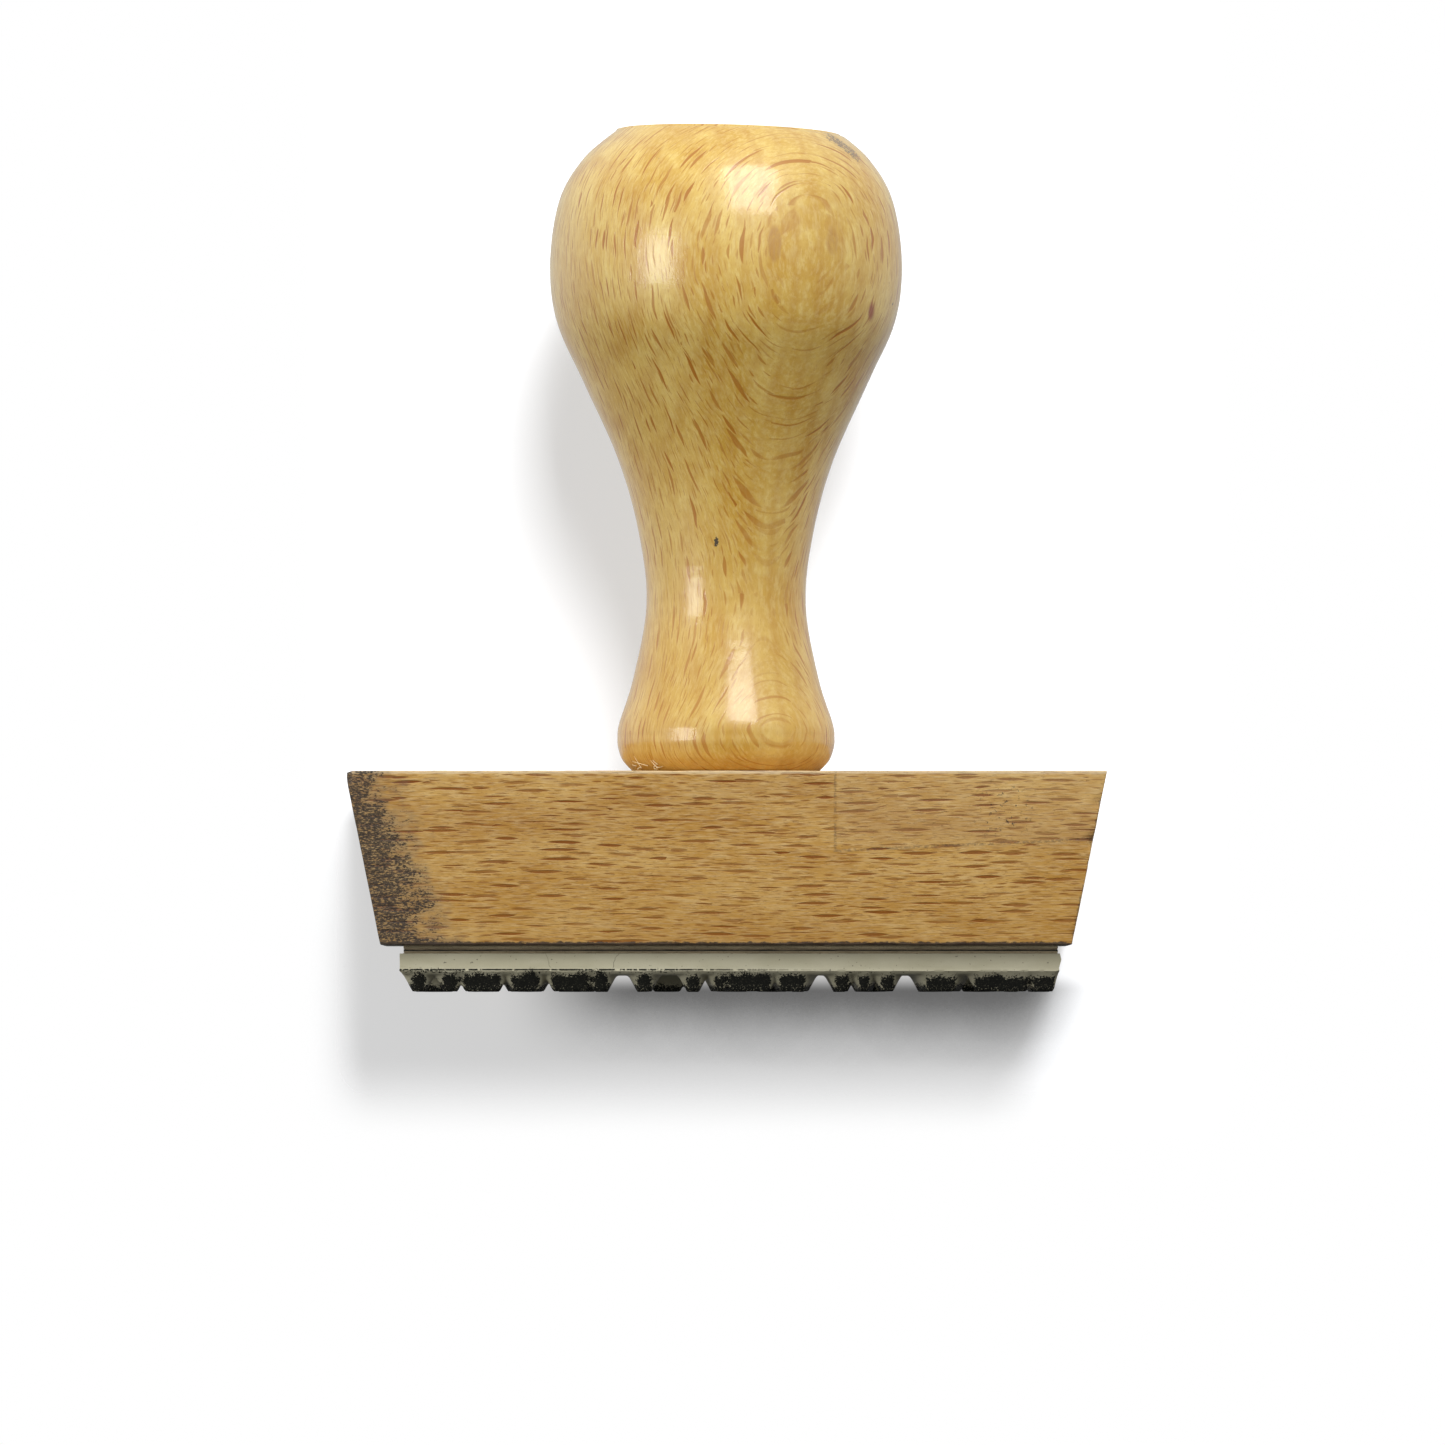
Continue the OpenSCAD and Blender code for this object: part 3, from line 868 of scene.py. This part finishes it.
def relief_grid(xs, ys, heights):
    """Points and faces of the die's underside, a little lumpy."""
    points, faces = [], []
    for i, x in enumerate(xs):
        for j, y in enumerate(ys):
            z = heights[i, j]
            lump = 0.02 * ripple(x, y, 0, 0.5) + 0.03 * ripple(x, y, 0, 1.6, 2)
            points.append((x, y, max(0.0, z + lump + (0.01 if z < 0.1 else 0.0))))
    count = len(ys)
    for i in range(len(xs) - 1):
        for j in range(count - 1):
            a = i * count + j
            faces.append((a, a + 1, a + count + 1, a + count))
    return points, faces


def add_walls(points, faces, xs, ys, top_z, right_side):
    """Adds the die's walls, in rows up from the border of its underside, and its flat top."""
    last, count = len(xs) - 1, len(ys)
    border = border_of(last + 1, count)
    below = [i * count + j for i, j in border]
    rows = 9
    for row in range(1, rows + 1):
        current = []
        for i, j in border:
            start_z = points[i * count + j][2]
            z = start_z + (top_z - start_z) * row / rows
            x, y = xs[i], ys[j]
            wave = 0.03 * (1 + ripple(x, y, z, 2.5, 6)) + 0.015 * (1 + ripple(x, y, z, 0.6, 7))
            if i == last:
                x = right_side(y, z - INNER) - wave
            if i == 0:
                x += wave
            if j == 0:
                y += wave
            if j == count - 1:
                y -= wave
            current.append(len(points))
            points.append((x, y, z))
        for k in range(len(border)):
            n = (k + 1) % len(border)
            faces.append((below[k], below[n], current[n], current[k]))
        below = current
    faces.append(tuple(below))


def make_die(material):
    """The moulded die: the CAD relief with its valleys blended round, on a floor with trimmed sides."""
    low, high = box_of("rubber_die")
    solid = tree_of("rubber_die")
    pitch, edge_z = 0.16, 2.15

    def right_side(y, z):
        """How far right the die reaches there. Its right end isn't upright."""
        y = min(max(y, low[1] + INNER), high[1] - INNER)
        return solid.ray_cast(Vector((high[0] + 5, y, z)), Vector((-1, 0, 0)))[0].x

    right = right_side(0.3, edge_z + 0.05)
    xs = np.linspace(low[0], right, round((right - low[0]) / pitch) + 1)
    ys = np.linspace(low[1], high[1], round((high[1] - low[1]) / pitch) + 1)
    inner_xs = np.clip(xs, low[0] + INNER, right - INNER)
    inner_ys = np.clip(ys, low[1] + INNER, high[1] - INNER)
    heights = soften_valleys(relief_heights(solid, inner_xs, inner_ys, edge_z))
    points, faces = relief_grid(xs, ys, heights)
    add_walls(points, faces, xs, ys, high[2], right_side)
    return piece("moulded_die", points, faces, material, "rubber_die", sharp=55)


# ---------------------------------------------------------------- stage, lights and camera

def one_sided(s, surface, cover=1.0):
    """A surface that is only there when it is seen from its front, and only where cover is 1."""
    clear = s.add("ShaderNodeBsdfTransparent")
    front = s.math("SUBTRACT", 1.0, s.add("ShaderNodeNewGeometry").outputs["Backfacing"])
    shaders = {0: s.times(front, cover), 1: clear.outputs[0], 2: surface.outputs[0]}
    both = s.add("ShaderNodeMixShader", shaders)
    out = s.add("ShaderNodeOutputMaterial")
    s.tree.links.new(both.outputs[0], out.inputs["Surface"])
    return s.owner


def floor_paper():
    """Matt white paper, exposed to white."""
    s = Shader("floor_paper")
    matt = s.add("ShaderNodeBsdfDiffuse", {"Color": (0.8, 0.8, 0.8, 1)})
    glow = s.add("ShaderNodeEmission", {"Color": (1, 1, 1, 1), "Strength": 0.4})
    return one_sided(s, s.add("ShaderNodeAddShader", {0: matt.outputs[0], 1: glow.outputs[0]}))


def back_paper():
    """White paper, exposed to white as in a catalogue, that fades out around the stamp.

    It has a painted contact shadow close under the die, where little of the room's light gets in.
    """
    s = Shader("back_paper")
    sides = s.step(s.math("ABSOLUTE", s.plus(s.x, -4.0)), 47, 40)
    cover = s.times(sides, s.step(s.z, -15, -6), s.step(s.z, 110, 85))
    # Painted contact shadow: occlusion darkens the paper's glow and colour under the middle and right of
    # the die
    open_sky = s.add("ShaderNodeAmbientOcclusion", {"Distance": 10 * MM}).outputs["AO"]
    close = s.math("MINIMUM", s.times(s.math("SUBTRACT", 1.0, open_sky), 1.9), 0.78)
    close = s.times(close, s.step(s.z, 2.0, 0.0), s.step(s.x, -24, -9), s.step(s.x, 41, 30))
    shade = s.math("SUBTRACT", 1.0, close)
    matt = s.add("ShaderNodeBsdfDiffuse", {"Color": s.mix(shade, (0, 0, 0), (0.30, 0.305, 0.315))})
    glow = s.add("ShaderNodeEmission", {"Color": (1, 1, 1, 1), "Strength": s.times(shade, 0.575)})
    both = s.add("ShaderNodeAddShader", {0: matt.outputs[0], 1: glow.outputs[0]})
    return one_sided(s, both, cover)


def make_sheet(name, corners, material):
    """A flat sheet of the stage, which neither shades nor lights the stamp."""
    mesh = bpy.data.meshes.new(name)
    mesh.from_pydata([Vector(c) * MM for c in corners], [], [(0, 1, 2, 3)])
    mesh.materials.append(material)
    sheet = bpy.data.objects.new(name, mesh)
    bpy.context.scene.collection.objects.link(sheet)
    sheet.visible_diffuse = False
    sheet.visible_glossy = False
    sheet.visible_transmission = False
    sheet.visible_shadow = False
    return sheet


def make_stage():
    """A white floor seen from above only, and soft-edged paper close behind the stamp.

    The paper leans back and is nearest on the right, where it touches the mount's upper back corner.
    It is turned far enough to hide its front from the right.
    """
    reach = 400
    corners = [(-reach, -reach, 0), (reach, -reach, 0), (reach, reach, 0), (-reach, reach, 0)]
    make_sheet("floor", corners, floor_paper())

    right_x, back_y, block_top = box_of("mount_block")[1]
    head_r, handle_top = box_of("handle")[1][1:]
    head_z = handle_top - 13
    lean = (head_r - back_y) / (head_z - block_top)
    turn = math.tan(math.radians(2.5))
    corners = []
    for x, z in ((-60, -20), (60, -20), (60, 120), (-60, 120)):
        corners.append((x, back_y + (z - block_top) * lean + (right_x - x) * turn + 0.1, z))
    return make_sheet("backdrop", corners, back_paper())


def area_light(name, way, size, radiance, roll=0.0):
    """A soft light of that radiance, a metre from the stamp, with its sides turned by roll degrees."""
    data = bpy.data.lights.new(name, "AREA")
    data.shape = "RECTANGLE"
    data.size, data.size_y = size
    data.energy = radiance * math.pi * size[0] * size[1]
    lamp = bpy.data.objects.new(name, data)
    bpy.context.scene.collection.objects.link(lamp)
    way = Vector(way).normalized()
    lamp.location = Vector((0, -10, 45)) * MM + way
    lamp.rotation_mode = "QUATERNION"
    lamp.rotation_quaternion = way.to_track_quat("Z", "Y") @ Quaternion((0, 0, 1), math.radians(roll))
    return lamp


def only_for(lamp, sheet, state):
    """Lets a lamp light nothing but that sheet (INCLUDE), or everything else (EXCLUDE)."""
    chosen = bpy.data.collections.new(lamp.name + "_lights")
    chosen.objects.link(sheet)
    chosen.collection_objects[0].light_linking.link_state = state
    lamp.light_linking.receiver_collection = chosen


def make_room():
    """A white room, brighter behind and at the sides, darker below. The camera sees it as plain white."""
    s = Shader("room", bpy.data.worlds)
    x, y, z = s.split(s.add("ShaderNodeTexCoord").outputs["Generated"])
    sides = s.times(x, x, s.plus(s.times(x, -0.14), 0.38))
    behind = s.times(s.step(y, -0.1, 0.6, 0.0, 0.43), s.plus(s.times(x, -0.2), 1.0))
    dim = s.plus(0.20, sides, behind, s.step(z, 0.0, 1.0, 0.0, 0.20))
    dim = s.times(dim, s.step(z, -0.6, 0.05, 0.12, 1.0))
    seen = s.add("ShaderNodeLightPath").outputs["Is Camera Ray"]
    surface = s.add("ShaderNodeBackground", {"Color": (1, 1, 1, 1), "Strength": s.most(dim, seen)})
    out = s.add("ShaderNodeOutputWorld")
    s.tree.links.new(surface.outputs[0], out.inputs["Surface"])
    bpy.context.scene.world = s.owner


def make_lights(backdrop):
    """A large soft light high in front, a smaller one low on the left, and one for the paper alone."""
    key = area_light("key", (0.253, -0.638, 0.727), (0.524, 0.753), 7.3, roll=-9)
    fill = area_light("fill", (-0.712, -0.697, 0.07), (0.41, 0.40), 6.5)
    paper_light = area_light("paper_light", (0.175, -0.72, 0.68), (0.42, 0.42), 65)
    only_for(key, backdrop, "EXCLUDE")
    only_for(fill, backdrop, "EXCLUDE")
    only_for(paper_light, backdrop, "INCLUDE")


def make_camera():
    """A long lens level with the die, so that the floor is edge on and the top is just hidden."""
    distance, eye_z = 1200.0, -5.0
    centre_x, centre_z = -0.35, 26.9
    width = 144.5
    data = bpy.data.cameras.new("camera")
    data.sensor_width = 36.0
    pitch = math.atan2(centre_z - eye_z, distance)
    data.lens = data.sensor_width / (width * math.cos(pitch)) * distance / math.cos(pitch)
    data.clip_start, data.clip_end = 0.05, 20.0
    camera = bpy.data.objects.new("camera", data)
    bpy.context.scene.collection.objects.link(camera)
    camera.location = Vector((centre_x, -distance, eye_z)) * MM
    camera.rotation_euler = (math.pi / 2 + pitch, 0, 0)
    bpy.context.scene.camera = camera


# ---------------------------------------------------------------- putting it together

make_handle(lacquered_beech())
make_splinters(torn_fibre())
make_glue(wood_glue())
make_screw(zinc_plated_steel())
make_mount(plain_beech())
film = adhesive_film()
ply = cushion_rubber()
make_layer("film_under_mount", "mount_adhesive", film, uneven=0.04)
make_layer("upper_ply", "cushion_upper_ply", ply, uneven=0.10, bulge=0.06)
make_layer("film_between_plies", "ply_adhesive", film, uneven=0.05)
make_layer("lower_ply", "cushion_lower_ply", ply, uneven=0.10, bulge=0.06)
make_layer("film_over_die", "die_adhesive", film, uneven=0.03)
make_die(die_rubber())
make_lights(make_stage())
make_room()
make_camera()

bpy.context.scene.view_settings.view_transform = "Standard"
bpy.context.scene.view_settings.look = "None"
